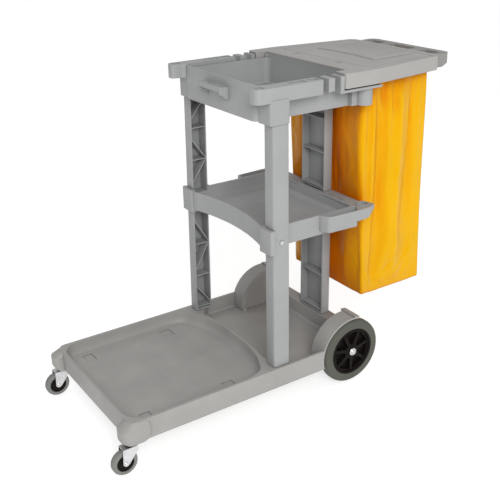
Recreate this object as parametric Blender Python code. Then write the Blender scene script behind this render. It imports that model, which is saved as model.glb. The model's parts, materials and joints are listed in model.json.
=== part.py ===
import math
import bpy
import bmesh
from mathutils import Matrix, Vector

# Lengths in millimetres. Cart axes: +X towards the push handle, +Z up, zero height where
# the rear tyres stand and x = 0 over the rear axle. The cart body stands nose up by RAKE.
RAKE = math.radians(1.07)
AXLE_X = 191.5
AXLE_Z = 106.0
GAP = 0.3

BASE_FRONT = -769.0
BASE_REAR = 72.0
BASE_HALF = 254.0
BASE_LOW = 77.6
BASE_TOP = 142.0
REAR_HALF = 200.0
RECESS_FLOOR = 104.0
BAY_FLOOR = 92.0
WELL_R = 110.5
FENDER_R = 116.0
BOSS_LOW = 73.5

TYRE_R = 106.0
TYRE_IN = 219.0
TYRE_OUT = 259.0
HUB_R = 77.5
AXLE_R = 6.35

CASTER_X = -767.0
CASTER_Y = 239.0
CASTER_R = 38.0
TRAIL = 24.0
TRAIL_ANGLE = math.radians(180.0)
FORK_TOP = 84.0
CUP_TOP = 86.9

POST_LOW = BASE_TOP + GAP
POST_HIGH = 873.2
REAR_POST_HIGH = 876.7

SHELF_TOP = 574.0
SHELF_LOW = 513.0
SHELF_FLOOR = 534.0

TRAY_LOW = 876.0
TRAY_TOP = 974.0
TRAY_HALF = 190.0
TRAY_FRONT = -308.0
TRAY_REAR = 15.0
CAP_OUT = 239.0
CAP_LOW = 937.0

LID_TOP = 980.0
LID_UNDER = 972.0
LID_LOW = 938.0
LID_HALF = 239.6
LID_TAIL_HALF = 200.3
LID_REAR = 361.0
FLAP_AXIS_X = 334.0
FLAP_AXIS_Z = 978.15

COLORS = {
    "grey_plastic": (0.40, 0.40, 0.385),
    "dark_grey_plastic": (0.26, 0.26, 0.255),
    "yellow_vinyl": (0.90, 0.46, 0.02),
    "grey_rubber": (0.17, 0.18, 0.18),
    "black_plastic": (0.02, 0.02, 0.02),
    "zinc": (0.62, 0.63, 0.65),
    "caster_grey": (0.30, 0.30, 0.30),
    "dark_steel": (0.05, 0.05, 0.05),
}

for old in list(bpy.data.objects):
    bpy.data.objects.remove(old, do_unlink=True)

frame = bpy.data.objects.new("cart_frame", None)
bpy.context.scene.collection.objects.link(frame)
frame.location = (AXLE_X / 1000.0, 0.0, AXLE_Z / 1000.0)
frame.rotation_euler = (0.0, RAKE, 0.0)

slots = {}
for slot_name, slot_color in COLORS.items():
    slot = bpy.data.materials.new(slot_name)
    slot.use_nodes = True
    slot.node_tree.nodes["Principled BSDF"].inputs["Base Color"].default_value = slot_color + (1.0,)
    slots[slot_name] = slot


def rounded(corners, seg=4):
    """Outline through (x, y, r) corners, each one replaced by an arc of radius r."""
    out = []
    count = len(corners)
    for i in range(count):
        px, py, r = corners[i]
        here = Vector((px, py))
        if r <= 0:
            out.append((px, py))
            continue
        back = Vector(corners[i - 1][:2]) - here
        ahead = Vector(corners[(i + 1) % count][:2]) - here
        angle = back.angle(ahead)
        reach = r / math.tan(angle / 2.0)
        bisector = (back.normalized() + ahead.normalized()).normalized()
        centre = here + bisector * (r / math.sin(angle / 2.0))
        start = here + back.normalized() * reach - centre
        end = here + ahead.normalized() * reach - centre
        turn = math.atan2(start.x * end.y - start.y * end.x, start.dot(end))
        for k in range(seg + 1):
            a = turn * k / seg
            out.append((centre.x + start.x * math.cos(a) - start.y * math.sin(a),
                        centre.y + start.x * math.sin(a) + start.y * math.cos(a)))
    return out


def mirrored(corners):
    """Half outline (y >= 0, first to last) completed with its mirror image."""
    return corners + [(c[0], -c[1]) + tuple(c[2:]) for c in reversed(corners) if abs(c[1]) > 1e-6]


def loft(sections, axis="z"):
    """Closed solid through outlines of equal length, each given with its level."""
    order = {"z": lambda p, t: (p[0], p[1], t),
             "y": lambda p, t: (p[0], t, p[1]),
             "x": lambda p, t: (t, p[0], p[1])}[axis]
    count = len(sections[0][0])
    verts = [order(p, level) for outline, level in sections for p in outline]
    faces = [list(range(count))[::-1]]
    for s in range(len(sections) - 1):
        low = s * count
        for i in range(count):
            j = (i + 1) % count
            faces.append([low + i, low + j, low + count + j, low + count + i])
    top = (len(sections) - 1) * count
    faces.append(list(range(top, top + count)))
    return verts, faces


def prism(outline, low, high, axis="z"):
    return loft([(outline, low), (outline, high)], axis)


def box(x0, x1, y0, y1, z0, z1):
    return prism([(x0, y0), (x1, y0), (x1, y1), (x0, y1)], z0, z1)


def lathe(profile, steps, origin=(0.0, 0.0, 0.0), direction=(0.0, 0.0, 1.0)):
    """Solid of revolution of a closed (radius, height) profile about an axis."""
    turn = Vector((0.0, 0.0, 1.0)).rotation_difference(Vector(direction)).to_matrix()
    verts = []
    rings = []
    for r, h in profile:
        if r < 1e-6:
            rings.append([len(verts)] * steps)
            verts.append(turn @ Vector((0.0, 0.0, h)) + Vector(origin))
            continue
        ring = []
        for k in range(steps):
            a = 2.0 * math.pi * k / steps
            ring.append(len(verts))
            verts.append(turn @ Vector((r * math.cos(a), r * math.sin(a), h)) + Vector(origin))
        rings.append(ring)
    faces = []
    closed = profile[0][0] > 1e-6
    last = len(rings) if closed else len(rings) - 1
    for i in range(last):
        a = rings[i]
        b = rings[(i + 1) % len(rings)]
        for k in range(steps):
            m = (k + 1) % steps
            face = [a[k], a[m], b[m], b[k]]
            clean = [v for n, v in enumerate(face) if v != face[n - 1]]
            if len(clean) > 2:
                faces.append(clean)
    return [tuple(v) for v in verts], faces


def rod(r, low, high, steps, origin=(0.0, 0.0, 0.0), direction=(0.0, 0.0, 1.0)):
    return lathe([(0.0, low), (r, low), (r, high), (0.0, high)], steps, origin, direction)


def flip(solid):
    """The same solid on the other side of the cart."""
    verts, faces = solid
    return [(v[0], -v[1], v[2]) for v in verts], [face[::-1] for face in faces]


def both(*solids):
    return list(solids) + [flip(s) for s in solids]


def mesh_of(name, solids, on_cart):
    shift = Vector((0.0, 0.0, -AXLE_Z)) if on_cart else Vector((0.0, 0.0, 0.0))
    bm = bmesh.new()
    for verts, faces in solids:
        made = [bm.verts.new((Vector(v) + shift) / 1000.0) for v in verts]
        for face in faces:
            bm.faces.new([made[i] for i in face])
    bmesh.ops.recalc_face_normals(bm, faces=bm.faces)
    mesh = bpy.data.meshes.new(name)
    bm.to_mesh(mesh)
    bm.free()
    return mesh


def add(name, solids, material, on_cart=True, place=None, round_shade=False):
    """One named piece of the cart, in cart axes or standing upright at its own place."""
    mesh = mesh_of(name, solids, on_cart)
    mesh.materials.append(slots[material])
    if round_shade:
        for polygon in mesh.polygons:
            polygon.use_smooth = True
        mesh.set_sharp_from_angle(angle=math.radians(35.0))
    piece = bpy.data.objects.new(name, mesh)
    bpy.context.scene.collection.objects.link(piece)
    if on_cart:
        piece.parent = frame
    if place is not None:
        piece.matrix_world = place
    return piece


def tool(piece, solids, operation, on_cart=True):
    mesh = mesh_of(piece.name + "_tool", solids, on_cart)
    cutter = bpy.data.objects.new(piece.name + "_tool", mesh)
    bpy.context.scene.collection.objects.link(cutter)
    cutter.hide_render = True
    cutter.display_type = "WIRE"
    if on_cart:
        cutter.parent = frame
    step = piece.modifiers.new(operation.lower(), "BOOLEAN")
    step.operation = operation
    step.solver = "EXACT"
    step.object = cutter
    return cutter


def cut(piece, solids, on_cart=True):
    return tool(piece, solids, "DIFFERENCE", on_cart)


def fuse(piece, solids):
    return tool(piece, solids, "UNION")


def arc(cx, cz, r, start, end, seg):
    return [(cx + r * math.cos(math.radians(start + (end - start) * k / seg)),
             cz + r * math.sin(math.radians(start + (end - start) * k / seg)))
            for k in range(seg + 1)]


def bow(x_mid, half, sag, seg):
    """Shallow arc across the cart from -half to +half, sag further forward at its ends."""
    out = []
    for k in range(seg + 1):
        y = -half + 2.0 * half * k / seg
        out.append((x_mid - sag * (y / half) ** 2, y))
    return out


# Base platform: tray in front, open bay between the wheels, corner bosses and fenders.
outline = rounded(mirrored([(BASE_FRONT, BASE_HALF, 22), (-98, BASE_HALF, 0), (-98, REAR_HALF, 0),
                            (BASE_REAR, REAR_HALF, 14)]))
base = add("base_platform", [prism(outline, BASE_LOW, BASE_TOP)], "grey_plastic")

ends = []
for x0, x1, top in ((-763, -531, 99), (-525, -297, 99), (-262, -108, 87), (-102, 66, 87)):
    wide = 248 if x1 < -105 else 194
    corners = [(x0, 3, 3), (x1, 3, 3), (x1, wide, 6), (x0, wide, 6)]
    inner = [(x0 + 3, 5, 3), (x1 - 3, 5, 3), (x1 - 3, wide - 4, 6), (x0 + 3, wide - 4, 6)]
    ends += both(loft([(rounded(corners, 2), 70), (rounded(inner, 2), top)]))
cut(base, ends)



def boss_outline(front, outer, rear, r):
    return rounded([(rear, 211, 3), (rear, outer, 6), (front, outer, r), (front, 211, r * 0.7)], 6)


fuse(base, both(loft([(boss_outline(-781, 256, -727, 18), BOSS_LOW),
                      (boss_outline(-793, 263, -717, 24), 84), (boss_outline(-797, 265, -713, 26), 93),
                      (boss_outline(-797, 265, -713, 26), 122),
                      (boss_outline(-767, 252.5, -713, 20), 141)])))


def bay_outline(inset):
    front = [(x + inset, y) for x, y in bow(-268, 175, 15, 6)]
    half = [(-226 + inset, 246 - inset, 8), (-106 - inset, 246 - inset, 8),
            (-106 - inset, 196 - inset, 3), (28 - inset, 196 - inset, 10)]
    other = [(c[0], -c[1], c[2]) for c in half]
    return rounded([(front[-1][0], front[-1][1], 0)] + half + other[::-1]
                   + [(p[0], p[1], 0) for p in front[:-1]], 3)


cut(base, [loft([(bay_outline(5), BAY_FLOOR), (bay_outline(1), 97), (bay_outline(0), 150)])])

wall = arc(0, AXLE_Z, FENDER_R, 194, 76.0, 22) + [(28.06, 84), (0, 84)]
fuse(base, both(prism(wall, 196, 204, "y")))
arch = arc(0, AXLE_Z, FENDER_R - 0.5, 193, 76.5, 24) + arc(0, AXLE_Z, WELL_R, 76.5, 193, 24)
fuse(base, both(prism(arch, 202, BASE_HALF, "y")))
lip = arc(0, AXLE_Z, 119.5, 85.6, 76.8, 2) + arc(0, AXLE_Z, 112.5, 76.8, 85.6, 2)
fuse(base, both(prism(lip, 186, BASE_HALF + 0.6, "y")))
fuse(base, both(rod(16, 203, 216.5, 20, (0, 0, AXLE_Z), (0, 1, 0))))
well = arc(0, AXLE_Z, WELL_R, 196, 140, 6) + [(-60, 90), (-60, 60), (-104, 60)]
cut(base, both(prism(well, 204, 262, "y")))

band = arc(0, AXLE_Z, 100, 188, 80, 12) + [(17.4, BAY_FLOOR), (-98, BAY_FLOOR)]
cut(base, both(prism(band, 190, 200, "y")))


def recess_outline(inset):
    half = [(-276 - inset, 60 - 0.2 * inset, 300), (-291 - inset, 150 - 0.4 * inset, 150),
            (-328 - 0.8 * inset, 232 - 0.8 * inset, 55 - 0.8 * inset),
            (-385, 247 - inset, 150 - 3.0 * inset), (-762 + inset, 244 - inset, 52 - 0.5 * inset)]
    return rounded(mirrored(half), 4)


cut(base, [loft([(recess_outline(18), RECESS_FLOOR), (recess_outline(11), 106.0),
                 (recess_outline(6), 112.0), (recess_outline(2.5), 124.0),
                 (recess_outline(0), 142.0), (recess_outline(-0.5), 150.0)])])
marks = []
for x0, x1, y0, y1 in ((-707, -675, 172, 216), (-436, -398, 170, 214)):
    marks += both(box(x0, x1, y0, y1, RECESS_FLOOR - 2.5, RECESS_FLOOR + 4))
cut(base, marks)

stems = [rod(7.0, 40, 141, 20, (CASTER_X, side * CASTER_Y, 0)) for side in (-1, 1)]
stems = [([(v[0] + AXLE_X, v[1], v[2]) for v in s[0]], s[1]) for s in stems]
cut(base, stems, on_cart=False)
cut(base, both(rod(AXLE_R + GAP, 202, 230, 20, (0, 0, AXLE_Z), (0, 1, 0))))

# Front posts: smooth outside, ribbed pockets inside.
BARS = [(146, 146), (155, 155), (230, 168), (271, 271), (298, 380), (384, 384), (466, 390),
        (500, 500), (562, 562), (600, 668), (671, 671), (736, 674), (774, 774), (805, 863),
        (870, 870)]


def post_line(z):
    """Front x, rear x and outer y of the post at a height."""
    t = (z - BASE_TOP) / (873.5 - BASE_TOP)
    return -291.6 + 4.3 * t, -234.4 + 1.3 * t, 244.8 - 7.3 * t


def post_outline(z, grow=0.0):
    x0, x1, outer = post_line(z)
    return rounded([(x0 - grow, outer - 40 - grow, 0.8), (x1 + grow, outer - 40 - grow, 0.8),
                    (x1 + grow, outer + grow, 7), (x0 - grow, outer + grow, 7)], 4)


def cell(lower, upper):
    """Pocket between two ribs, each given by its height at the front and at the back."""
    def edge(bar, side):
        half = 1.5 * math.hypot(1.0, (bar[1] - bar[0]) / 50.0)
        return bar[0] + side * half, bar[1] + side * half
    lo = edge(lower, 1)
    hi = edge(upper, -1)
    front, rear = hi[0] - lo[0], hi[1] - lo[1]
    s0, s1 = 0.0, 1.0
    if front < 1.0:
        s0 = (1.0 - front) / (rear - front)
    if rear < 1.0:
        s1 = (front - 1.0) / (front - rear)
    x0, _, _ = post_line(lower[0])
    _, x1, outer = post_line((lower[0] + upper[1]) / 2.0)
    x0, x1 = x0 + 4.0, x1 - 4.0
    points = [(x0 + (x1 - x0) * s, bar[0] + (bar[1] - bar[0]) * s)
              for bar, s in ((lo, s0), (lo, s1), (hi, s1), (hi, s0))]
    return prism(points, outer - 60, outer - 4.3, "y")


cells = [cell(a, b) for a, b in zip(BARS[:-1], BARS[1:])]
for side_name, turn in (("left", flip), ("right", lambda s: s)):
    shaft = loft([(post_outline(POST_LOW), POST_LOW), (post_outline(POST_HIGH), POST_HIGH)])
    post = add("front_post_" + side_name, [turn(shaft)], "grey_plastic")
    cut(post, [turn(c) for c in cells])
    cut(post, [turn(rod(2.2, 232, 250, 16, (-262, 0, 537), (0, 1, 0)))])
    face = post_line(537)[2]
    screw = lathe([(0, face - 3.6), (1.8, face - 3.6), (1.8, face + GAP), (6.6, face + GAP),
                   (6.2, face + 2.4), (4.4, face + 3.4), (3.2, face + 3.5), (2.6, face + 1.9),
                   (0, face + 1.9)], 14, (-262, 0, 537), (0, 1, 0))
    add("post_screw_" + side_name, [turn(screw)], "zinc", round_shade=True)


def rear_post_outline(z, grow=0.0):
    half = 58.5 - 2.2 * (z - 147) / 730.0 + grow
    return rounded(mirrored([(35 - grow, half, 1), (66 + grow, half, 3)]), 2)


rear_post = add("rear_post", [loft([(rear_post_outline(POST_LOW), POST_LOW),
                                    (rear_post_outline(REAR_POST_HIGH), REAR_POST_HIGH)])],
                "grey_plastic")
levels = [(146, 152), (155, 280), (283, 509), (512, 577), (580, 583), (586, 696), (699, 802),
          (805, 873)]
bays = []
for low, high in levels:
    bays.append(prism(rounded([(-52, low, 1), (52, low, 1), (52, high, 1), (-52, high, 1)], 1),
                      30, 62, "x"))
cut(rear_post, bays)

# Middle shelf: dished floor, bowed front, collars at the front posts, slotted side wings.
front = bow(-267, 200, 31, 10)
rear = [(66.3, 206, 6), (66.3, -206, 6)]
shell = rounded([(p[0], p[1], 0) for p in front] + [(-280, 212, 0)] + [(60, 212, 0), (66, 206, 0)]
                + [(66, -206, 0), (60, -212, 0), (-280, -212, 0)], 1)
shelf = add("middle_shelf", [prism(shell, SHELF_LOW, SHELF_TOP)], "grey_plastic")
collar = [(-302, 187, 5), (-302, 246, 6), (-288, 246, 0), (-288, 216, 0), (-226, 216, 0),
          (-226, 190, 0)]
fuse(shelf, both(loft([(rounded(collar, 3), 505), (rounded(collar, 3), 578)])))
wing = [(-104, 208, 0), (-104, 214, 6), (-92, 243, 14), (-38, 246, 0), (15, 249, 0), (58, 247, 6),
        (92, 232, 9), (80, 203, 9), (60, 200, 0), (30, 200, 0)]
fuse(shelf, both(prism(rounded(wing, 4), 525, SHELF_TOP)))
under = [(8, 515), (8, 541), (50, 541), (110, 577), (110, 515)]
cut(shelf, both(prism(under, 213, 262, "y")))
fuse(shelf, both(lathe([(0, 560), (21, 560), (21, 575.6), (19, 576.8), (0, 576.8)], 24, (57, 212, 0))))


def dish(inset):
    bend = [(x + 5 + inset, y) for x, y in bow(-267, 186, 26, 10)]
    half = [(bend[-1][0] + 10, 202 - inset, 0), (21 - inset, 206 - inset * 1.2, 16)]
    other = [(c[0], -c[1], c[2]) for c in half]
    return rounded([(bend[-1][0], bend[-1][1] - inset * 0.6, 0)] + half + other[::-1]
                   + [(bend[0][0], bend[0][1] + inset * 0.6, 0)]
                   + [(p[0], p[1], 0) for p in bend[1:-1]], 4)


cut(shelf, [loft([(dish(22), SHELF_FLOOR), (dish(12), 538), (dish(5), 546), (dish(0), SHELF_TOP),
                  (dish(-0.5), 590)])])
loop = rounded([(-90, 216, 5), (-84, 240, 9), (-38, 242, 0), (10, 243, 0), (18, 236, 5),
                (28, 214, 5), (10, 212.6, 0)], 3)
cut(shelf, both(prism(loop, 500, 600)))
cut(shelf, both(rod(16, 500, 600, 24, (57, 212, 0))))
hollow = [(x + 6, y) for x, y in bow(-267, 180, 24, 8)]
under_half = [(20, 205), (20, 63), (60, 63), (60, 190)]
cut(shelf, [prism(rounded([(p[0], p[1], 0) for p in hollow]
                          + [(-216, 184, 0), (-216, 206, 0), (14, 206, 4), (14, -206, 4),
                             (-216, -206, 0), (-216, -184, 0)], 2), 500, 529.5)])
cut(shelf, both(prism([(20, 63), (60, 63), (60, 190), (20, 190)], 500, 569)))
slots_cut = []
for x0, x1, y0, y1 in ((33, 38, 74, 108), (33, 38, 118, 150)):
    slots_cut += both(box(x0, x1, y0, y1, 560, 590))
cut(shelf, slots_cut)
cut(shelf, both(loft([(post_outline(480, GAP), 480), (post_outline(600, GAP), 600)])))
cut(shelf, [prism(rounded(mirrored([(34.7, 57.8, 0), (90, 57.8, 0)]), 1), 490, 600)])

# Upper tray: bin, side ledges with sockets over the posts, slots, hook and rear member.
body = rounded(mirrored([(TRAY_FRONT, TRAY_HALF, 26), (TRAY_REAR, TRAY_HALF, 4)]), 6)
tray = add("upper_tray", [prism(body, TRAY_LOW, TRAY_TOP)], "grey_plastic")
horn = rounded([(-340, 201, 8), (-340, CAP_OUT, 18), (-120, CAP_OUT, 3), (-120, 186, 0),
                (-300, 186, 0), (-312, 197, 0)], 4)
fuse(tray, both(prism(horn, 934, TRAY_TOP)))
socket = rounded([(-297, 184, 0), (-297, 240, 8), (-231, 240, 8), (-231, 184, 0)], 4)
fuse(tray, both(prism(socket, 873.5, 940)))
fuse(tray, both(box(-102, -81, 186, CAP_OUT - 0.5, CAP_LOW, TRAY_TOP)))
strip = [(-61, 927), (92, 927), (92, 934), (-47.5, 934), (-47.5, 975), (-61, 975)]
fuse(tray, both(prism(strip, 186, CAP_OUT, "y")))
member = rounded(mirrored([(10, 205, 0), (70, 205, 6)]), 2)
fuse(tray, [prism(member, 877, 927.5)])
fuse(tray, both(rod(24, 877, 928, 24, (55, 205, 0))))
under_cap = rounded([(-334, 207, 3), (-334, 234, 9), (-301, 234, 0), (-301, 207, 0)], 2)
cut(tray, both(prism(under_cap, 925, 969)))
cut(tray, both(box(-226, -125, 195, 234, 925, 969)))
cut(tray, both(box(20, 64, 62, 176, 870, 923)))


def bin_outline(inset, side):
    half = [(-302.5 + inset, side - inset, 26 - inset), (-5 - inset, side - inset, 20 - inset)]
    return rounded(mirrored(half), 6)


cut(tray, [loft([(bin_outline(8, 186), 884), (bin_outline(3, 186), 888), (bin_outline(0, 186), 962),
                 (bin_outline(0, 194.5), 962.2), (bin_outline(0, 195), 990)])])
shallow = []
for x0, x1 in ((-330, -306), (-222, -170), (-158, -128)):
    shallow += both(box(x0, x1, 208, 229, TRAY_TOP - 1.8, TRAY_TOP + 5))
cut(tray, shallow)
web = [(-304, 908), (-304, 949), (-337, 951), (-337, 931)]
fuse(tray, both(prism(web, 51, 57, "y")))
fuse(tray, [box(-337, -331.5, -54, 54, 937, 951)])

# Bag frame: skirted border round the opening for the hinged flap.
def lid_outline(inset):
    return rounded(mirrored([(-5 + inset, 193 + inset, 6), (-44 + inset, 193 + inset, 3),
                             (-44 + inset, LID_HALF - inset, 10 - inset), (64, LID_HALF - inset, 0),
                             (LID_REAR - inset, LID_TAIL_HALF - inset, 28 - inset)]), 5)


def flap_outline(x0, x1, half0, half1, r):
    return rounded(mirrored([(x0, half0, r), (x1, half1, 2)]), 4)


lid = add("bag_frame", [prism(lid_outline(0), LID_LOW, LID_TOP)], "grey_plastic")
cut(lid, [prism(lid_outline(4), 920, LID_UNDER)])
cut(lid, [box(-12, 16, -192.6, 192.6, 925, TRAY_TOP + GAP)])
cut(lid, [prism(flap_outline(67, 332, 198, 182, 16), 940, 990)])
cut(lid, [prism(flap_outline(62, 337, 203, 187, 20), 976, 990)])
cut(lid, both(box(331.6, 336.8, 180, 194, 975.6, 990)))
cut(lid, both(box(34, 58, 96, 104, 976.5, 985)))

flap = add("lid_flap", [prism(flap_outline(63.8, FLAP_AXIS_X, 201.2, 185.3, 18.5), 976.3, LID_TOP)],
           "grey_plastic")
knuckle = rod(1.85, -184, 184, 16, (FLAP_AXIS_X, 0, FLAP_AXIS_Z), (0, 1, 0))
fuse(flap, [knuckle])


def pillow(grow):
    edge = [(160 - grow - 8 * (y / 130.0) ** 2, y)
            for y in (-132 - grow, -90, -45, 0, 45, 90, 132 + grow)]
    return rounded([(p[0], p[1], 0) for p in edge]
                   + [(309 + grow, 127 + grow, 8), (309 + grow, -127 - grow, 8)], 3)


fuse(flap, [loft([(pillow(0), 978.5), (pillow(0), 981.4), (pillow(-5), 984.5)])])
flap.location = (FLAP_AXIS_X / 1000.0, 0.0, (FLAP_AXIS_Z - AXLE_Z) / 1000.0)
flap.data.transform(Matrix.Translation(-flap.location))
for side_name, turn in (("left", flip), ("right", lambda s: s)):
    pin = rod(1.5, 187.0, 193.4, 14, (FLAP_AXIS_X, 0, FLAP_AXIS_Z), (0, 1, 0))
    add("flap_pin_" + side_name, [turn(pin)], "grey_plastic", round_shade=True)

# Push handle: gripping bar behind the frame with finger openings.
grip_top = rounded(mirrored([(LID_REAR + GAP, 172, 0), (404, 177, 3), (430, 168, 24)]), 4)
grip_low = rounded(mirrored([(LID_REAR + GAP, 168, 0), (400, 170, 3), (422, 158, 24)]), 4)
grip = add("push_handle", [loft([(grip_low, 936), (grip_top, 946), (grip_top, 978)])],
           "dark_grey_plastic")
fingers = both(prism(rounded([(366, 88, 9), (404, 88, 9), (404, 156, 14), (366, 156, 14)], 4), 925, 990))
fingers.append(prism(rounded([(366, -50, 9), (404, -50, 9), (404, 50, 9), (366, 50, 9)], 4), 925, 990))
cut(grip, fingers)

# Waste bag: open at the top, hanging plumb below the frame.
BAG = [(237.0, 101, 348, 174), (243.0, 98, 351, 178), (500.0, 84, 338, 180), (750.0, 70.5, 330, 180),
       (877.0, 72.5, 327, 180), (971.5, 76, 325, 179)]


def bag_outline(row, inset):
    return rounded(mirrored([(row[1] + inset, row[3] - inset, 22 - inset),
                             (row[2] - inset, row[3] - inset, 22 - inset)]), 4)


bag = add("waste_bag", [loft([(bag_outline(row, 0), row[0]) for row in BAG])], "yellow_vinyl")
inside = [(bag_outline((243.0, 99, 350, 177), 2), 240.0)]
inside += [(bag_outline(row, 2), row[0]) for row in BAG[2:-1]]
inside.append((bag_outline((980, 76, 325, 179), 2), 980))
cut(bag, [loft(inside)])

# Rear wheels on stub axles.
tyre = [(HUB_R + GAP, TYRE_IN + 3), (90, TYRE_IN + 1), (100, TYRE_IN + 4), (104.6, TYRE_IN + 9),
        (TYRE_R, TYRE_IN + 14), (TYRE_R, TYRE_OUT - 14), (104.6, TYRE_OUT - 8),
        (100, TYRE_OUT - 3), (90, TYRE_OUT), (HUB_R + GAP, TYRE_OUT - 2)]
hub = [(AXLE_R + GAP, TYRE_IN), (18, TYRE_IN), (18, TYRE_IN + 6), (64, TYRE_IN + 6),
       (HUB_R - 4, TYRE_IN + 2), (HUB_R, TYRE_IN + 3), (HUB_R, TYRE_OUT - 3), (HUB_R - 6, TYRE_OUT - 2.5),
       (70, TYRE_OUT - 7), (21, TYRE_OUT - 4), (16, TYRE_OUT), (AXLE_R + GAP, TYRE_OUT)]
fans = []
for k in range(7):
    mid = math.pi / 2 + 2.0 * math.pi * k / 7.0
    shape = [(24, -0.20), (68, -0.39), (68, 0.39), (24, 0.20)]
    points = [(r * math.cos(mid + a), r * math.sin(mid + a), 4) for r, a in shape]
    ring = rounded(points, 2)
    fans.append(prism([(p[0], p[1] + AXLE_Z) for p in ring], TYRE_OUT - 20, TYRE_OUT + 5, "y"))
for side_name, turn in (("left", flip), ("right", lambda s: s)):
    hub_at = ((0.0, 0.0, AXLE_Z), (0.0, 1.0, 0.0))
    add("rear_tyre_" + side_name, [turn(lathe(tyre, 44, *hub_at))], "grey_rubber", round_shade=True)
    wheel = add("rear_hub_" + side_name, [turn(lathe(hub, 40, *hub_at))], "black_plastic",
                round_shade=True)
    cut(wheel, [turn(f) for f in fans])
    cap = lathe([(AXLE_R + GAP, TYRE_OUT + GAP), (12.5, TYRE_OUT + GAP), (12.5, TYRE_OUT + 2.0),
                 (10.5, TYRE_OUT + 4.0), (9, TYRE_OUT + 4.0), (8.4, TYRE_OUT + 2.6),
                 (AXLE_R + GAP, TYRE_OUT + 2.6)], 20, *hub_at)
    add("axle_cap_" + side_name, [turn(cap)], "zinc", round_shade=True)
    pin = lathe([(0, 202.6), (AXLE_R, 202.6), (AXLE_R, TYRE_OUT + 3.4), (AXLE_R - 1, TYRE_OUT + 4.6),
                 (0, TYRE_OUT + 4.9)], 16, *hub_at)
    add("axle_pin_" + side_name, [turn(pin)], "zinc", round_shade=True)

# Casters stand upright under the front corners.
trail_way = Vector((math.cos(TRAIL_ANGLE), math.sin(TRAIL_ANGLE), 0.0))
for side_name, side in (("left", -1.0), ("right", 1.0)):
    at = Vector(((AXLE_X + CASTER_X) / 1000.0, side * CASTER_Y / 1000.0, 0.0))
    swing = Matrix.Translation(at) @ Matrix.Rotation(TRAIL_ANGLE, 4, "Z")
    stem = lathe([(0, 80.0), (5.4, 80.0), (5.4, FORK_TOP + GAP), (12.5, FORK_TOP + GAP),
                  (13.5, FORK_TOP + 1.3), (12.5, CUP_TOP - 0.6), (9, CUP_TOP), (5.5, CUP_TOP),
                  (5.5, 136), (4.5, 138), (0, 138)], 20)
    add("caster_stem_" + side_name, [stem], "dark_steel", False, swing, True)
    crown = prism(rounded([(-15, -14.4, 9), (29, -14.4, 4), (29, 14.4, 4), (-15, 14.4, 9)], 4),
                  FORK_TOP - 3, FORK_TOP)
    fork = add("caster_fork_" + side_name, [crown], "zinc", False, swing)
    leg = rounded([(-15, FORK_TOP - 0.5, 2), (-15, 71, 5), (14, 35, 8), (24, 28, 7), (33, 37, 8),
                   (30, FORK_TOP - 0.5, 3)], 3)
    for s in (-1, 1):
        plate = prism(leg, min(s * 12.4, s * 14.8), max(s * 12.4, s * 14.8), "y")
        step = tool(fork, [plate], "UNION", False)
        step.parent = fork
    hole = tool(fork, [rod(3.0 + GAP, -20, 20, 16, (TRAIL, 0, CASTER_R), (0, 1, 0))], "DIFFERENCE", False)
    hole.parent = fork
    hole = tool(fork, [rod(5.4 + GAP, 74, 93, 20)], "DIFFERENCE", False)
    hole.parent = fork
    hub_place = swing @ Matrix.Translation((TRAIL / 1000.0, 0.0, CASTER_R / 1000.0))
    axis = ((0.0, 0.0, 0.0), (0.0, 1.0, 0.0))
    rivet = lathe([(0, -17.2), (4.5, -17.2), (5.6, -16.2), (5.6, -14.8 - GAP), (3, -14.8 - GAP),
                   (3, 14.8 + GAP), (5.6, 14.8 + GAP), (5.6, 16.2), (4.5, 17.2), (0, 17.2)], 12, *axis)
    add("caster_rivet_" + side_name, [rivet], "zinc", False, hub_place, True)
    rim = lathe([(3.0 + GAP, -11.8), (8, -11.8), (8, -8), (22, -7), (25.5, -9.5), (25.5, 9.5), (22, 7),
                 (8, 8), (8, 11.8), (3.0 + GAP, 11.8)], 22, *axis)
    add("caster_hub_" + side_name, [rim], "black_plastic", False, hub_place, True)
    tread = lathe([(25.5 + GAP, -10), (32, -11), (36, -9), (CASTER_R, -5), (CASTER_R, 5), (36, 9),
                   (32, 11), (25.5 + GAP, 10)], 32, *axis)
    add("caster_tyre_" + side_name, [tread], "caster_grey", False, hub_place, True)
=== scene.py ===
import json
import math

import bpy
import numpy as np
from mathutils import Matrix, Vector, noise


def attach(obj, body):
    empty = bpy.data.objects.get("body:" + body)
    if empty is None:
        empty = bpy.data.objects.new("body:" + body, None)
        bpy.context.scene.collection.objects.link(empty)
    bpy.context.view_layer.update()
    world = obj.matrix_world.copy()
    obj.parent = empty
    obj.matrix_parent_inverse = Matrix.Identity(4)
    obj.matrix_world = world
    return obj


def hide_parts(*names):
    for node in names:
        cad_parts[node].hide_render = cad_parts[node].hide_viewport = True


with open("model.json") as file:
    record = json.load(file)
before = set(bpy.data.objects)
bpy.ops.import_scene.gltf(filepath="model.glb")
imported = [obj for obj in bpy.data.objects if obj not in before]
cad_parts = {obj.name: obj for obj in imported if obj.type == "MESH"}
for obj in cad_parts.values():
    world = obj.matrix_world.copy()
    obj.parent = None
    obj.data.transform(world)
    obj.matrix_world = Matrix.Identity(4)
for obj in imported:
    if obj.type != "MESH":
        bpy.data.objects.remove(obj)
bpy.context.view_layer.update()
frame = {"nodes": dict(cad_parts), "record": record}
nodes = frame["nodes"]
scene = bpy.context.scene

# The cart body stands nose up by RAKE about the rear axle. Its own axes are used below:
# millimetres, x = 0 over the axle, z = 0 where the rear tyres stand.
RAKE = math.radians(1.07)
AXLE_X = 191.5
AXLE_Z = 106.0


def place(x, y, z):
    """World point, in metres, of a point given in the cart's own axes in millimetres."""
    c, s = math.cos(RAKE), math.sin(RAKE)
    return Vector(((AXLE_X + x * c + (z - AXLE_Z) * s) / 1000.0, y / 1000.0,
                   (AXLE_Z - x * s + (z - AXLE_Z) * c) / 1000.0))


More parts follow.
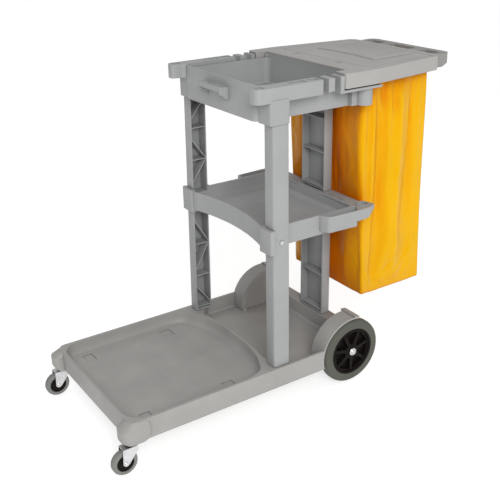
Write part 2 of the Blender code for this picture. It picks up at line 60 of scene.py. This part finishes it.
def turn(x, y, z):
    """World direction of a direction given in the cart's own axes."""
    return (place(1000 * x, 1000 * y, 1000 * z) - place(0, 0, 0)).normalized()


# ---------------------------------------------------------------- camera, floor, light
CAMERA_AT = (-1507.9, -1952.3, 1431.1)
LENS, SENSOR = 59.162, 36.0
SHIFT_X, SHIFT_Y = 0.0022, -0.0093
FLOOR_HALF = 14.0
FLOOR_TONE, FLOOR_GLOW = 0.50, 0.64
SKY_LEVEL, SKY_TOWARDS_ZENITH, SKY_TOWARDS_BACK = 0.36, 0.50, 0.16
AZIMUTH, ELEVATION, ROLL = math.radians(-33.569), math.radians(23.061), math.radians(-1.022)
ahead = Vector((-math.sin(AZIMUTH) * math.cos(ELEVATION),
                math.cos(AZIMUTH) * math.cos(ELEVATION), -math.sin(ELEVATION)))
flat_right = Vector((math.cos(AZIMUTH), math.sin(AZIMUTH), 0.0))
flat_up = flat_right.cross(ahead)
right = math.cos(ROLL) * flat_right + math.sin(ROLL) * flat_up
up = -math.sin(ROLL) * flat_right + math.cos(ROLL) * flat_up
columns = [turn(*right), turn(*up), -turn(*ahead)]
camera = bpy.data.objects.new("camera", bpy.data.cameras.new("camera"))
scene.collection.objects.link(camera)
rotation = Matrix([columns[0], columns[1], columns[2]]).transposed()
camera.matrix_world = Matrix.Translation(place(*CAMERA_AT)) @ rotation.to_4x4()
camera.data.sensor_width = SENSOR
camera.data.lens = LENS
camera.data.shift_x = SHIFT_X
camera.data.shift_y = SHIFT_Y
camera.data.clip_end = 50.0
scene.camera = camera
scene.view_settings.view_transform = "Standard"

floor_mesh = bpy.data.meshes.new("floor")
floor_corners = [(FLOOR_HALF * x, FLOOR_HALF * y, 0.0) for x, y in ((-1, -1), (1, -1), (1, 1), (-1, 1))]
floor_mesh.from_pydata(floor_corners, [], [(0, 1, 2, 3)])
floor = bpy.data.objects.new("floor", floor_mesh)
scene.collection.objects.link(floor)
paint = bpy.data.materials.new("floor")
paint.use_nodes = True
shader = paint.node_tree.nodes["Principled BSDF"]
shader.inputs["Base Color"].default_value = (FLOOR_TONE,) * 3 + (1.0,)
shader.inputs["Emission Color"].default_value = (1.0, 1.0, 1.0, 1.0)
shader.inputs["Emission Strength"].default_value = FLOOR_GLOW
shader.inputs["Roughness"].default_value = 0.9
shader.inputs["Specular IOR Level"].default_value = 0.1
floor_mesh.materials.append(paint)

world = bpy.data.worlds.new("studio")
world.use_nodes = True
world.node_tree.nodes["Background"].inputs["Color"].default_value = (1.0, 1.0, 1.0, 1.0)
scene.world = world


def sky_gradient(tree, level, towards_zenith, towards_back):
    """Sky strength that grows upwards and towards the handle end."""
    coord = tree.nodes.new("ShaderNodeTexCoord")
    parts = tree.nodes.new("ShaderNodeSeparateXYZ")
    tree.links.new(coord.outputs["Generated"], parts.inputs["Vector"])
    total = level
    for output, weight in ((parts.outputs["Z"], towards_zenith), (parts.outputs["X"], towards_back)):
        step = tree.nodes.new("ShaderNodeMath")
        step.operation = "MULTIPLY_ADD"
        tree.links.new(output, step.inputs[0])
        step.inputs[1].default_value = weight
        if isinstance(total, float):
            step.inputs[2].default_value = total
        else:
            tree.links.new(total, step.inputs[2])
        total = step.outputs["Value"]
    tree.links.new(total, tree.nodes["Background"].inputs["Strength"])


sky_gradient(world.node_tree, SKY_LEVEL, SKY_TOWARDS_ZENITH, SKY_TOWARDS_BACK)


def softbox(name, at, target, size, watts):
    """Round studio lamp at one point, turned towards another, in metres."""
    lamp = bpy.data.lights.new(name, "AREA")
    lamp.shape = "DISK"
    lamp.size = size
    lamp.energy = watts
    holder = bpy.data.objects.new(name, lamp)
    scene.collection.objects.link(holder)
    holder.location = at
    holder.rotation_mode = "QUATERNION"
    holder.rotation_quaternion = (Vector(target) - Vector(at)).to_track_quat("-Z", "Y")


softbox("key", (-1.8, -3.8, 2.9), (0.0, 0.0, 0.5), 2.2, 156.0)


# ---------------------------------------------------------------- materials
def material(name, color, rough, metal=0.0, specular=0.5):
    made = bpy.data.materials.new(name)
    made.use_nodes = True
    made.node_tree.nodes["Principled BSDF"].inputs["Metallic"].default_value = metal
    made.node_tree.nodes["Principled BSDF"].inputs["Specular IOR Level"].default_value = specular
    made.node_tree.nodes["Principled BSDF"].inputs["Base Color"].default_value = color + (1.0,)
    made.node_tree.nodes["Principled BSDF"].inputs["Roughness"].default_value = rough
    return made


def tex_noise(tree, scale, detail, stretch=None):
    """Noise over the object's own coordinates; returns its factor output."""
    coord = tree.nodes.new("ShaderNodeTexCoord")
    out = coord.outputs["Object"]
    if stretch is not None:
        mapping = tree.nodes.new("ShaderNodeMapping")
        mapping.inputs["Scale"].default_value = stretch
        tree.links.new(out, mapping.inputs["Vector"])
        out = mapping.outputs["Vector"]
    texture = tree.nodes.new("ShaderNodeTexNoise")
    texture.inputs["Scale"].default_value = scale
    texture.inputs["Detail"].default_value = detail
    tree.links.new(out, texture.inputs["Vector"])
    return texture.outputs["Fac"]


def ramp(tree, factor, stops):
    """Colour between the first and the last stop, each a position and a colour."""
    node = tree.nodes.new("ShaderNodeValToRGB")
    node.color_ramp.elements[0].position = stops[0][0]
    node.color_ramp.elements[0].color = stops[0][1] + (1.0,)
    node.color_ramp.elements[1].position = stops[-1][0]
    node.color_ramp.elements[1].color = stops[-1][1] + (1.0,)
    tree.links.new(factor, node.inputs["Fac"])
    return node.outputs["Color"]


def bumps(tree, layers, edge=None):
    """Stacks bump layers (height output, strength, distance) over rounded edges."""
    normal = None
    if edge is not None:
        bevel = tree.nodes.new("ShaderNodeBevel")
        bevel.samples = 6
        bevel.inputs["Radius"].default_value = edge
        normal = bevel.outputs["Normal"]
    for height, strength, distance in layers:
        node = tree.nodes.new("ShaderNodeBump")
        node.inputs["Strength"].default_value = strength
        node.inputs["Distance"].default_value = distance
        tree.links.new(height, node.inputs["Height"])
        if normal is not None:
            tree.links.new(normal, node.inputs["Normal"])
        normal = node.outputs["Normal"]
    tree.links.new(normal, tree.nodes["Principled BSDF"].inputs["Normal"])


def shade(color, k):
    """The colour k times as bright, no channel over 1."""
    return tuple(min(1.0, c * k) for c in color)


def varied(tree, color, low, high, scale):
    """Base colour wandering between low and high times the colour."""
    out = ramp(tree, tex_noise(tree, scale, 3.0), [(0.3, shade(color, low)), (0.7, shade(color, high))])
    tree.links.new(out, tree.nodes["Principled BSDF"].inputs["Base Color"])


def varied_rough(tree, low, high, scale):
    """Roughness wandering between low and high."""
    out = ramp(tree, tex_noise(tree, scale, 3.0), [(0.3, (low,) * 3), (0.7, (high,) * 3)])
    tree.links.new(out, tree.nodes["Principled BSDF"].inputs["Roughness"])


def edge_mask(tree, radius):
    """Near 1 along convex and concave edges, 0 on open faces."""
    bevel = tree.nodes.new("ShaderNodeBevel")
    bevel.samples = 6
    bevel.inputs["Radius"].default_value = radius
    plain = tree.nodes.new("ShaderNodeNewGeometry")
    dot = tree.nodes.new("ShaderNodeVectorMath")
    dot.operation = "DOT_PRODUCT"
    tree.links.new(bevel.outputs["Normal"], dot.inputs[0])
    tree.links.new(plain.outputs["Normal"], dot.inputs[1])
    spread = tree.nodes.new("ShaderNodeMapRange")
    spread.inputs["From Min"].default_value = 0.995
    spread.inputs["From Max"].default_value = 0.75
    tree.links.new(dot.outputs["Value"], spread.inputs["Value"])
    return spread.outputs["Result"]


def hollow_mask(tree, distance, samples=4):
    """1 on open faces, towards 0 in corners and under neighbours."""
    around = tree.nodes.new("ShaderNodeAmbientOcclusion")
    around.samples = samples
    around.inputs["Distance"].default_value = distance
    return around.outputs["AO"]


def math_node(tree, operation, a, b):
    """Math node of two values, each a number or an output; returns its output."""
    node = tree.nodes.new("ShaderNodeMath")
    node.operation = operation
    for socket, value in ((node.inputs[0], a), (node.inputs[1], b)):
        if isinstance(value, float):
            socket.default_value = value
        else:
            tree.links.new(value, socket)
    return node.outputs["Value"]


def open_share(tree, hollow, low, gain):
    """A hollow mask stretched: 0 at low and below, 1 from low + 1 / gain up."""
    raised = math_node(tree, "MULTIPLY", math_node(tree, "SUBTRACT", hollow, low), gain)
    return math_node(tree, "MAXIMUM", math_node(tree, "MINIMUM", raised, 1.0), 0.0)


def mix(tree, factor, a, b):
    """Colour a where factor is 0, colour b where it is 1."""
    node = tree.nodes.new("ShaderNodeMix")
    node.data_type = "RGBA"
    tree.links.new(factor, node.inputs["Factor"])
    for socket, value in ((node.inputs["A"], a), (node.inputs["B"], b)):
        if isinstance(value, tuple):
            socket.default_value = value + (1.0,)
        else:
            tree.links.new(value, socket)
    return node.outputs["Result"]


def moulded(name, color, rough, edge=0.0016, grain=0.12, wear_and_highlight=1.25, corner_shade=0.84, seam_shade=0.45,
             mottle=0.035):
    """Moulded plastic or rubber: mottling, painted shade in corners, painted shade along concave joints
    and creases, painted highlight on edges that are partly rubbed, grain.

    The three factors after grain multiply the colour on edges (painted highlight, partly rubbed wear),
    in corners (painted shade) and along concave joints and creases (painted shade).
    """
    made = material(name, color, rough, specular=0.33)
    tree = made.node_tree
    shader = tree.nodes["Principled BSDF"]
    mottled = ramp(tree, tex_noise(tree, 9.0, 5.0),
                   [(0.3, shade(color, 1.0 - mottle)), (0.7, shade(color, 1.0 + mottle))])
    # Painted shade: the colour darkens in corners and under neighbouring parts, as far as the occlusion
    # mask reaches.
    mottle_and_shade = mix(tree, hollow_mask(tree, 0.05), shade(color, corner_shade), mottled)
    # Painted shade: a short occlusion mask darkens the colour along concave joints and creases.
    clear_of_seam_shade = open_share(tree, hollow_mask(tree, 0.005, 8), 0.4, 1.9)
    mottle_and_shade = mix(tree, clear_of_seam_shade, shade(color, seam_shade), mottle_and_shade)
    # Painted highlight: edges turn lighter in patches, partly standing for rubbed wear; the same mask
    # also lowers their roughness.
    rubbed_and_highlit = math_node(tree, "MULTIPLY", edge_mask(tree, edge * 1.3), tex_noise(tree, 45.0, 3.0))
    tree.links.new(mix(tree, rubbed_and_highlit, mottle_and_shade, shade(color, wear_and_highlight)), shader.inputs["Base Color"])
    patchy = ramp(tree, tex_noise(tree, 30.0, 3.0),
                  [(0.3, (rough - 0.05,) * 3), (0.7, (rough + 0.06,) * 3)])
    tree.links.new(math_node(tree, "SUBTRACT", patchy, math_node(tree, "MULTIPLY", rubbed_and_highlit, 0.12)),
                   shader.inputs["Roughness"])
    bumps(tree, [(tex_noise(tree, 900.0, 2.0), grain, 0.0006),
                 (tex_noise(tree, 18.0, 2.0), 0.08, 0.002)], edge)
    return made


GREY = (0.330, 0.321, 0.308)
COOL_GREY = (0.298, 0.301, 0.303)
WORN_GREY = (0.302, 0.294, 0.282)
DARK_GREY = (0.235, 0.230, 0.220)
# In the calls below, the edge factor is a painted highlight (partly rubbed wear) and the corner and
# joint factors are painted shade.
grey = moulded("grey_plastic_look", GREY, 0.46)
cool_grey = moulded("cool_grey_plastic_look", COOL_GREY, 0.46)
worn_grey = moulded("worn_grey_plastic_look", WORN_GREY, 0.50, wear_and_highlight=1.30, mottle=0.075)
dark_grey = moulded("dark_grey_plastic_look", DARK_GREY, 0.48)
black = moulded("black_plastic_look", (0.008, 0.006, 0.0055), 0.46, 0.0012, 0.12, 2.5, 0.9)
tyre_look = moulded("grey_rubber_look", (0.088, 0.092, 0.076), 0.72, 0.0012, 0.22, 1.25, 0.85)
caster_look = moulded("caster_rubber_look", (0.175, 0.180, 0.165), 0.55, 0.001, 0.12, 1.15)
for look, shine in ((black, 0.07), (tyre_look, 0.2), (caster_look, 0.35)):
    look.node_tree.nodes["Principled BSDF"].inputs["Specular IOR Level"].default_value = shine


def metal_look(name, color, rough, metal):
    """Plated or oiled steel with fine drawn lines."""
    made = material(name, color, rough, metal)
    tree = made.node_tree
    varied(tree, color, 0.9, 1.08, 60.0)
    varied_rough(tree, rough - 0.06, rough + 0.1, 120.0)
    bumps(tree, [(tex_noise(tree, 400.0, 3.0, (1.0, 1.0, 0.2)), 0.08, 0.0004)], 0.0006)
    return made


zinc = metal_look("zinc_look", (0.66, 0.66, 0.67), 0.30, 1.0)
oiled = metal_look("dark_steel_look", (0.06, 0.058, 0.055), 0.38, 0.7)

VINYL = (0.70, 0.385, 0.0015)
# Painted shade: the darker, more orange vinyl colour used in folds and next to neighbouring parts.
SHADED_VINYL = (0.60, 0.135, 0.0003)


def creased_vinyl(name):
    """Coated fabric: painted shade in a deeper orange in the folds and next to neighbouring parts,
    satin coating, pressed creases, fine weave.
    """
    made = material(name, VINYL, 0.38, specular=0.30)
    tree = made.node_tree
    shader = tree.nodes["Principled BSDF"]
    faded = ramp(tree, tex_noise(tree, 7.0, 3.0),
                 [(0.3, shade(VINYL, 0.965)), (0.7, shade(VINYL, 1.03))])
    # Painted shade: a wide occlusion mask mixes in the darker orange in folds and beside neighbouring
    # parts.
    lit = open_share(tree, hollow_mask(tree, 0.32), 0.50, 2.1)
    tree.links.new(mix(tree, lit, SHADED_VINYL, faded), shader.inputs["Base Color"])
    varied_rough(tree, 0.30, 0.44, 22.0)
    shader.inputs["Specular Tint"].default_value = (1.0, 0.62, 0.10, 1.0)
    shader.inputs["Coat Weight"].default_value = 0.04
    shader.inputs["Coat Tint"].default_value = (1.0, 0.80, 0.35, 1.0)
    shader.inputs["Coat Roughness"].default_value = 0.28
    crease = tex_noise(tree, 11.0, 4.0, (1.0, 1.0, 0.6))
    from_crease = math_node(tree, "ABSOLUTE", math_node(tree, "SUBTRACT", crease, 0.5), 0.0)
    folded_line = math_node(tree, "SUBTRACT", 0.2, from_crease)
    bumps(tree, [(tex_noise(tree, 1400.0, 2.0), 0.10, 0.0004), (folded_line, 0.5, 0.020),
                 (tex_noise(tree, 34.0, 3.0, (1.0, 1.0, 0.6)), 0.25, 0.004)])
    return made


vinyl = creased_vinyl("yellow_vinyl_look")

LOOKS = {"grey_plastic": grey, "dark_grey_plastic": dark_grey, "yellow_vinyl": vinyl,
         "grey_rubber": tyre_look, "black_plastic": black, "zinc": zinc,
         "caster_grey": caster_look, "dark_steel": oiled}
OWN_LOOKS = {"base_platform": worn_grey, "front_post_left": cool_grey, "front_post_right": cool_grey,
             "rear_post": cool_grey, "middle_shelf": cool_grey, "upper_tray": cool_grey}
slot_of = {s["node"]: s["material_slot"] for s in frame["record"]["subparts"]}
for node_name, node in nodes.items():
    for i in range(len(node.data.materials)):
        node.data.materials[i] = OWN_LOOKS.get(node_name, LOOKS[slot_of[node_name]])


def rounded_shading(limit):
    """Node group that shades curved stretches smooth and keeps edges past the limit sharp."""
    group = bpy.data.node_groups.new("rounded_shading", "GeometryNodeTree")
    group.interface.new_socket("Geometry", in_out="INPUT", socket_type="NodeSocketGeometry")
    group.interface.new_socket("Geometry", in_out="OUTPUT", socket_type="NodeSocketGeometry")
    start = group.nodes.new("NodeGroupInput")
    end = group.nodes.new("NodeGroupOutput")
    weld = group.nodes.new("GeometryNodeMergeByDistance")
    weld.inputs["Distance"].default_value = 0.00001
    faces = group.nodes.new("GeometryNodeSetShadeSmooth")
    edges = group.nodes.new("GeometryNodeSetShadeSmooth")
    edges.domain = "EDGE"
    edges.inputs["Shade Smooth"].default_value = False
    angle = group.nodes.new("GeometryNodeInputMeshEdgeAngle")
    sharp = group.nodes.new("FunctionNodeCompare")
    sharp.inputs["B"].default_value = limit
    group.links.new(angle.outputs["Unsigned Angle"], sharp.inputs["A"])
    group.links.new(start.outputs["Geometry"], weld.inputs["Geometry"])
    group.links.new(weld.outputs["Geometry"], faces.inputs["Geometry"])
    group.links.new(faces.outputs["Geometry"], edges.inputs["Geometry"])
    group.links.new(sharp.outputs["Result"], edges.inputs["Selection"])
    group.links.new(edges.outputs["Geometry"], end.inputs["Geometry"])
    return group


soft_turns = rounded_shading(math.radians(28.0))
for node in nodes.values():
    node.modifiers.new("rounded_shading", "NODES").node_group = soft_turns


# ---------------------------------------------------------------- waste bag
# Outline of the hanging vinyl in the cart's axes: height, front x, rear x, half width.
BAG = [(237.0, 98.0, 356.0, 179.0), (262.0, 96.0, 354.0, 180.5), (500.0, 84.0, 343.0, 180.5),
       (750.0, 70.5, 336.0, 180.5), (877.0, 72.5, 333.0, 180.5), (971.5, 76.0, 330.0, 179.0)]
BAG_TOP, BAG_LOW = 970.5, 237.0
BAG_MIDDLE = (226.0, 0.0)
# Points round the bag, rows down its sides and rings of its bottom.
AROUND, DOWN, BOTTOM = 212, 124, 9
# Short creases pulled towards the bottom corners: x, height, slope and how far they stand out.
CREASES = [(246.0, 292.0, 0.8, 4.5), (205.0, 318.0, 0.7, -3.5), (122.0, 300.0, -2.2, 4.5),
           (160.0, 290.0, -0.7, 3.0), (300.0, 345.0, 1.4, 3.5)]


def ease(value, low, high):
    """0 below low, 1 above high, smooth between."""
    t = min(1.0, max(0.0, (value - low) / (high - low)))
    return t * t * (3.0 - 2.0 * t)


def bag_row(z):
    """Front x, rear x and half width of the bag at a height, in the cart's axes."""
    for low, high in zip(BAG[:-1], BAG[1:]):
        if z <= high[0]:
            t = max(0.0, (z - low[0]) / (high[0] - low[0]))
            return tuple(a + (b - a) * t for a, b in zip(low[1:], high[1:]))
    return BAG[-1][1:]


def bag_ring(z, shrink=0.0):
    """Points evenly spaced round the bag at one height."""
    x0, x1, half = bag_row(z)
    front_r = 8.0 + 6.0 * ease(z, 240.0, 340.0)
    rear_r = 6.0 + 2.0 * ease(z, 240.0, 340.0)
    path = []
    corners = [(x1, -half, rear_r, -1, 1), (x1, half, rear_r, -1, -1), (x0, half, front_r, 1, -1),
               (x0, -half, front_r, 1, 1)]
    for k, (x, y, r, inward_x, inward_y) in enumerate(corners):
        for a in (0, 22, 45, 68, 90):
            t = math.radians(-90.0 + 90.0 * k + a)
            path.append((x + inward_x * r + r * math.cos(t), y + inward_y * r + r * math.sin(t)))
    path.append(path[0])
    lengths = [0.0]
    for a, b in zip(path[:-1], path[1:]):
        lengths.append(lengths[-1] + math.dist(a, b))
    marks = np.linspace(0.0, lengths[-1], AROUND + 1)[:-1]
    xs = np.interp(marks, lengths, [p[0] for p in path])
    ys = np.interp(marks, lengths, [p[1] for p in path])
    middle = (x0 + x1) / 2.0
    kept = 1.0 - shrink
    return [(middle + (x - middle) * kept, y * kept) for x, y in zip(xs, ys)]


def hump(value, width):
    """1 at 0, falling away smoothly on both sides."""
    return math.exp(-(value / width) ** 2)


def side_folds(x, z):
    """How far the near side of the bag stands out, in mm: hanging pleats and pulled corners."""
    free = ease(z, 975.0, 880.0)
    grown = free * ease(z, 250.0, 330.0)
    lean = (z - 600.0) / 400.0
    pleat = 224.0 + 5.0 * math.sin(z / 130.0) + 2.0 * math.sin(z / 47.0)
    ridge = ease(x, pleat - 62.0, pleat) * (1.0 - ease(x, pleat, pleat + 48.0))
    out = 17.0 * free * ease(z, 246.0, 400.0) * ridge
    sway = 0.9 * math.sin(z / 95.0) + 0.4 * math.sin(z / 41.0)
    out += 2.6 * grown * math.sin(x / 9.0 + sway) * ease(x, 240.0, 200.0)
    out += 1.6 * grown * math.sin(x / 12.0 + 1.5 * sway) * ease(x, 240.0, 270.0)
    out -= 11.0 * grown * hump(x - 146.0 - 8.0 * lean, 24.0)
    out -= 5.0 * grown * hump(x - 268.0 - 10.0 * lean, 26.0)
    gathered = free * hump(z - 870.0, 60.0) * ease(x, 95.0, 130.0) * ease(x, 245.0, 205.0)
    out += 3.4 * gathered * math.sin((x + 0.18 * (z - 880.0)) / 5.4)
    low = ease(z, 240.0, 258.0) * ease(z, 450.0, 300.0)
    for cx, cz, slope, size in CREASES:
        across = ((z - cz) - slope * (x - cx)) / math.hypot(1.0, slope)
        along = ((x - cx) + slope * (z - cz)) / math.hypot(1.0, slope)
        out += size * low * hump(across, 7.0) * hump(along, 42.0)
    return out


def plain_folds(s, z, seed):
    """Broad pleats of the other sides, s measured along the side in mm."""
    free = ease(z, 975.0, 890.0) * ease(z, 245.0, 330.0)
    return free * 15.0 * noise.noise(Vector((s / 95.0, z / 520.0, seed)))


def crinkle(x, y, z):
    """Small dents of handled vinyl, in mm."""
    loose = ease(z, 970.0, 935.0) * ease(z, 239.0, 262.0)
    facets = abs(noise.noise(Vector((x / 52.0, y / 52.0, z / 85.0))))
    dents = noise.noise(Vector((x / 21.0, y / 21.0, z / 30.0)))
    return loose * (0.9 * dents - 4.6 * facets)


def folded(x, y, z):
    """Point of the plain bag moved out or in by the folds of its side, less so at its corners."""
    x0, x1, half = bag_row(z)
    near = ease(-y, half - 14.0, half - 1.0)
    far = ease(y, half - 14.0, half - 1.0)
    front = ease(x0 + 14.0 - x, 0.0, 13.0)
    rear = ease(x - x1 + 14.0, 0.0, 13.0)
    inner_x = ease(x, x0, x0 + 34.0) * ease(x, x1, x1 - 26.0)
    inner_y = ease(abs(y), half, half - 30.0)
    dents = crinkle(x, y, z)
    side = (side_folds(x, z) + dents) * inner_x
    other = (side_folds(x, z) * 0.5 + plain_folds(x, z, 3.0) + dents) * inner_x
    x_out = (plain_folds(y, z, 11.0) + 0.7 * dents) * inner_y
    x_rear = (plain_folds(y, z, 19.0) + dents) * inner_y
    corner = ease(abs(y), half - 60.0, half) * ease(min(x - x0, x1 - x), 60.0, 0.0)
    lifted = z + 2.5 * corner * ease(z, 275.0, 242.0)
    return x - front * x_out + rear * x_rear, y - near * side + far * other, lifted


def bag_mesh_of():
    """The bag's sides row by row from the top, then its bottom in shrinking rings."""
    rows = []
    for k in range(DOWN + 1):
        z = BAG_TOP + (BAG_LOW + 5.0 - BAG_TOP) * k / DOWN
        rows.append([folded(x, y, z) for x, y in bag_ring(z)])
    for k in range(1, BOTTOM):
        rows.append([(x, y, BAG_LOW - 1.5 * math.sin(math.pi * k / BOTTOM))
                     for x, y in bag_ring(BAG_LOW, (k / BOTTOM) ** 0.8)])
    points = [place(*p) for row in rows for p in row]
    points.append(place(BAG_MIDDLE[0], BAG_MIDDLE[1], BAG_LOW))
    faces = []
    for k in range(len(rows) - 1):
        for i in range(AROUND):
            j = (i + 1) % AROUND
            faces.append((k * AROUND + i, (k + 1) * AROUND + i, (k + 1) * AROUND + j, k * AROUND + j))
    last = (len(rows) - 1) * AROUND
    for i in range(AROUND):
        faces.append((last + i, len(points) - 1, last + (i + 1) % AROUND))
    mesh = bpy.data.meshes.new("bag_vinyl")
    mesh.from_pydata(points, [], faces)
    mesh.update()
    return mesh


def hang(piece, held_rows, frames, slack, cap):
    """Lets the vinyl settle under its own weight below its held rows; no point moves past cap."""
    held = piece.vertex_groups.new(name="held")
    held.add(list(range(held_rows * AROUND)), 1.0, "REPLACE")
    cloth = piece.modifiers.new("cloth", "CLOTH")
    cloth.settings.quality = 5
    cloth.settings.mass = 0.4
    cloth.settings.tension_stiffness = 40.0
    cloth.settings.compression_stiffness = 40.0
    cloth.settings.shear_stiffness = 12.0
    cloth.settings.bending_stiffness = 1.2
    cloth.settings.air_damping = 4.0
    cloth.settings.shrink_min = -slack
    cloth.settings.vertex_group_mass = "held"
    cloth.collision_settings.use_collision = False
    cloth.point_cache.frame_start = 1
    cloth.point_cache.frame_end = frames
    before = np.array([v.co for v in piece.data.vertices])
    for frame_number in range(1, frames + 1):
        scene.frame_set(frame_number)
    settled = piece.evaluated_get(bpy.context.evaluated_depsgraph_get()).to_mesh()
    after = np.array([v.co for v in settled.vertices])
    piece.evaluated_get(bpy.context.evaluated_depsgraph_get()).to_mesh_clear()
    move = after - before
    far = np.linalg.norm(move, axis=1, keepdims=True)
    move *= np.minimum(1.0, cap / np.maximum(far, 1e-9))
    piece.modifiers.remove(cloth)
    for vertex, co in zip(piece.data.vertices, before + move):
        vertex.co = co
    scene.frame_set(1)


bag = bpy.data.objects.new("bag_vinyl", bag_mesh_of())
scene.collection.objects.link(bag)
hang(bag, held_rows=3, frames=14, slack=0.006, cap=0.005)
for polygon in bag.data.polygons:
    polygon.use_smooth = True
bag.data.materials.append(vinyl)
wall = bag.modifiers.new("wall", "SOLIDIFY")
wall.thickness = 0.0006
wall.offset = -1.0

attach(bag, "cart")
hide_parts("waste_bag")
